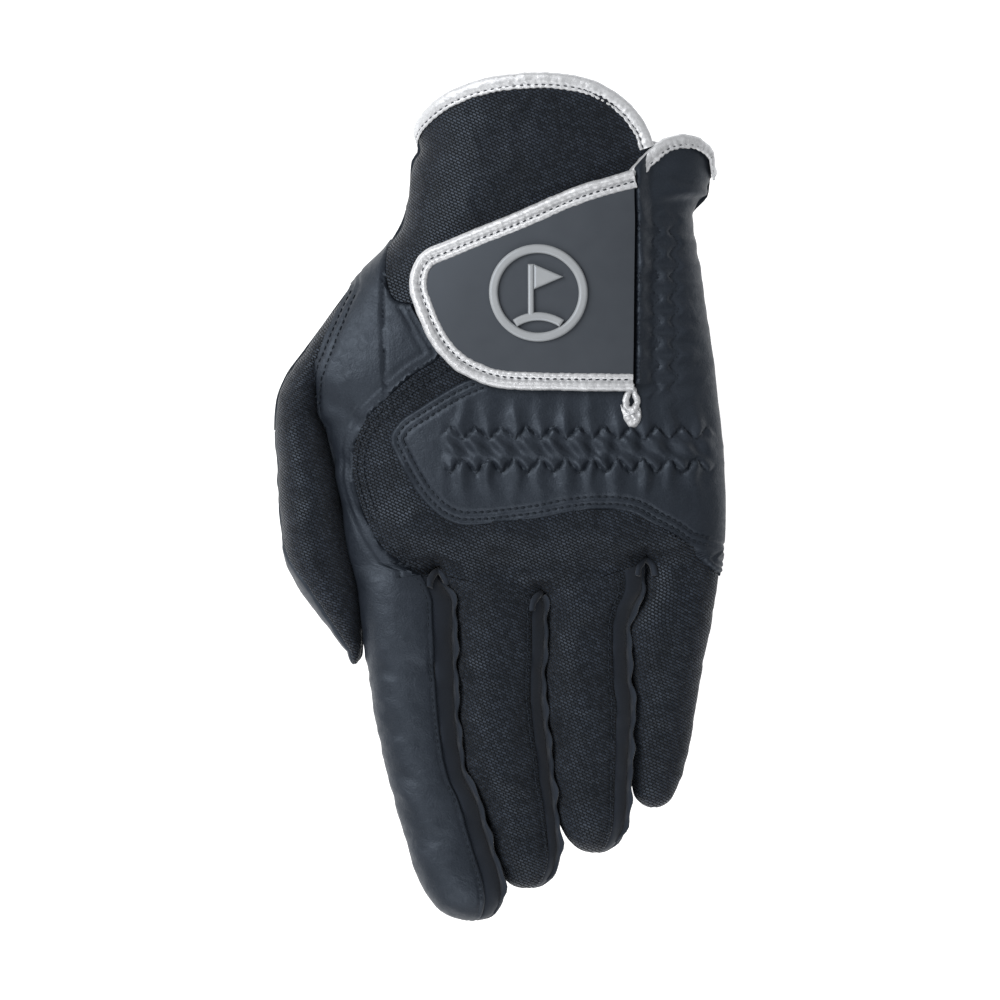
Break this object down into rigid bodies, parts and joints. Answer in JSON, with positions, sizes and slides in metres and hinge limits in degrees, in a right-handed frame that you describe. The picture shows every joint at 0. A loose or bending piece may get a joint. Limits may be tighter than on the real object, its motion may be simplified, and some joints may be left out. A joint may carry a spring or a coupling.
{
  "type": "golf glove",
  "caption": "Left-hand golf glove with a fold-over wrist tab, mesh back, leather palm and separate finger and thumb stalls that bend at their bases.",
  "frame": {"origin": "on the resting surface, under the middle of the glove's outline", "axes": "+X to the little-finger side, +Y from the fingertips to the wrist, +Z out of the back of the hand"},
  "size_m": [0.1163, 0.2196, 0.0361],
  "materials": {
    "leather_black": "smooth full-grain cabretta leather with a soft satin sheen",
    "mesh_black": "knitted stretch mesh with small slanted stitches",
    "lycra_black": "plain fine stretch knit, matte",
    "rubber_grey": "matte moulded rubber",
    "binding_silver": "silver metallic coated fabric, puckered along the stitching",
    "emblem_grey": "raised bevelled satin moulding",
    "hook_loop_black": "brushed loop and moulded hook tape",
    "backing_black": "suede side of thin leather",
    "elastic_black": "ribbed woven elastic"
  },
  "bodies": {
    "hand": {"palm_panel": "leather_black", "radial_panel": "leather_black", "side_panel": "leather_black", "back_panel": "mesh_black", "cuff_panel": "mesh_black", "knuckle_patch": "leather_black", "loop_patch": "hook_loop_black", "cuff_binding": "binding_silver", "side_binding": "binding_silver", "slit_binding": "binding_silver", "slit_loop": "binding_silver", "knuckle_elastic": "elastic_black", "side_elastic": "elastic_black", "wrist_elastic": "elastic_black"},
    "tab": {"tab_panel": "rubber_grey", "tab_piping": "binding_silver", "tab_emblem": "emblem_grey", "tab_backing": "backing_black", "tab_hook_patch": "hook_loop_black"},
    "thumb": {"thumb_back": "mesh_black", "thumb_front": "leather_black"},
    "index": {"index_back": "leather_black", "index_front": "leather_black", "index_fourchette_ulnar": "lycra_black"},
    "middle": {"middle_back": "mesh_black", "middle_front": "leather_black", "middle_fourchette_radial": "lycra_black", "middle_fourchette_ulnar": "lycra_black"},
    "ring": {"ring_back": "mesh_black", "ring_front": "leather_black", "ring_fourchette_radial": "lycra_black", "ring_fourchette_ulnar": "lycra_black"},
    "little": {"little_back": "mesh_black", "little_front": "leather_black", "little_fourchette_radial": "lycra_black"}
  },
  "joints": [
    {"name": "tab_hinge", "type": "hinge", "parent": "hand", "child": "tab", "pos_m": [0.0345, 0.057, 0.035], "axis": [0, 1, 0], "range_deg": [0, 165]},
    {"name": "index_bend", "type": "hinge", "parent": "hand", "child": "index", "pos_m": [0, -0.022, 0.0045], "axis": [1, 0, 0], "range_deg": [0, 70]},
    {"name": "middle_bend", "type": "hinge", "parent": "hand", "child": "middle", "pos_m": [0, -0.022, 0.0045], "axis": [1, 0, 0], "range_deg": [0, 75]},
    {"name": "ring_bend", "type": "hinge", "parent": "hand", "child": "ring", "pos_m": [0, -0.022, 0.0045], "axis": [1, 0, 0], "range_deg": [0, 75]},
    {"name": "little_bend", "type": "hinge", "parent": "hand", "child": "little", "pos_m": [0, -0.022, 0.0045], "axis": [1, 0, 0], "range_deg": [0, 75]},
    {"name": "thumb_swing", "type": "hinge", "parent": "hand", "child": "thumb", "pos_m": [-0.059, 0.02, 0.011], "axis": [0, 0, -1], "range_deg": [0, 35]}
  ]
}
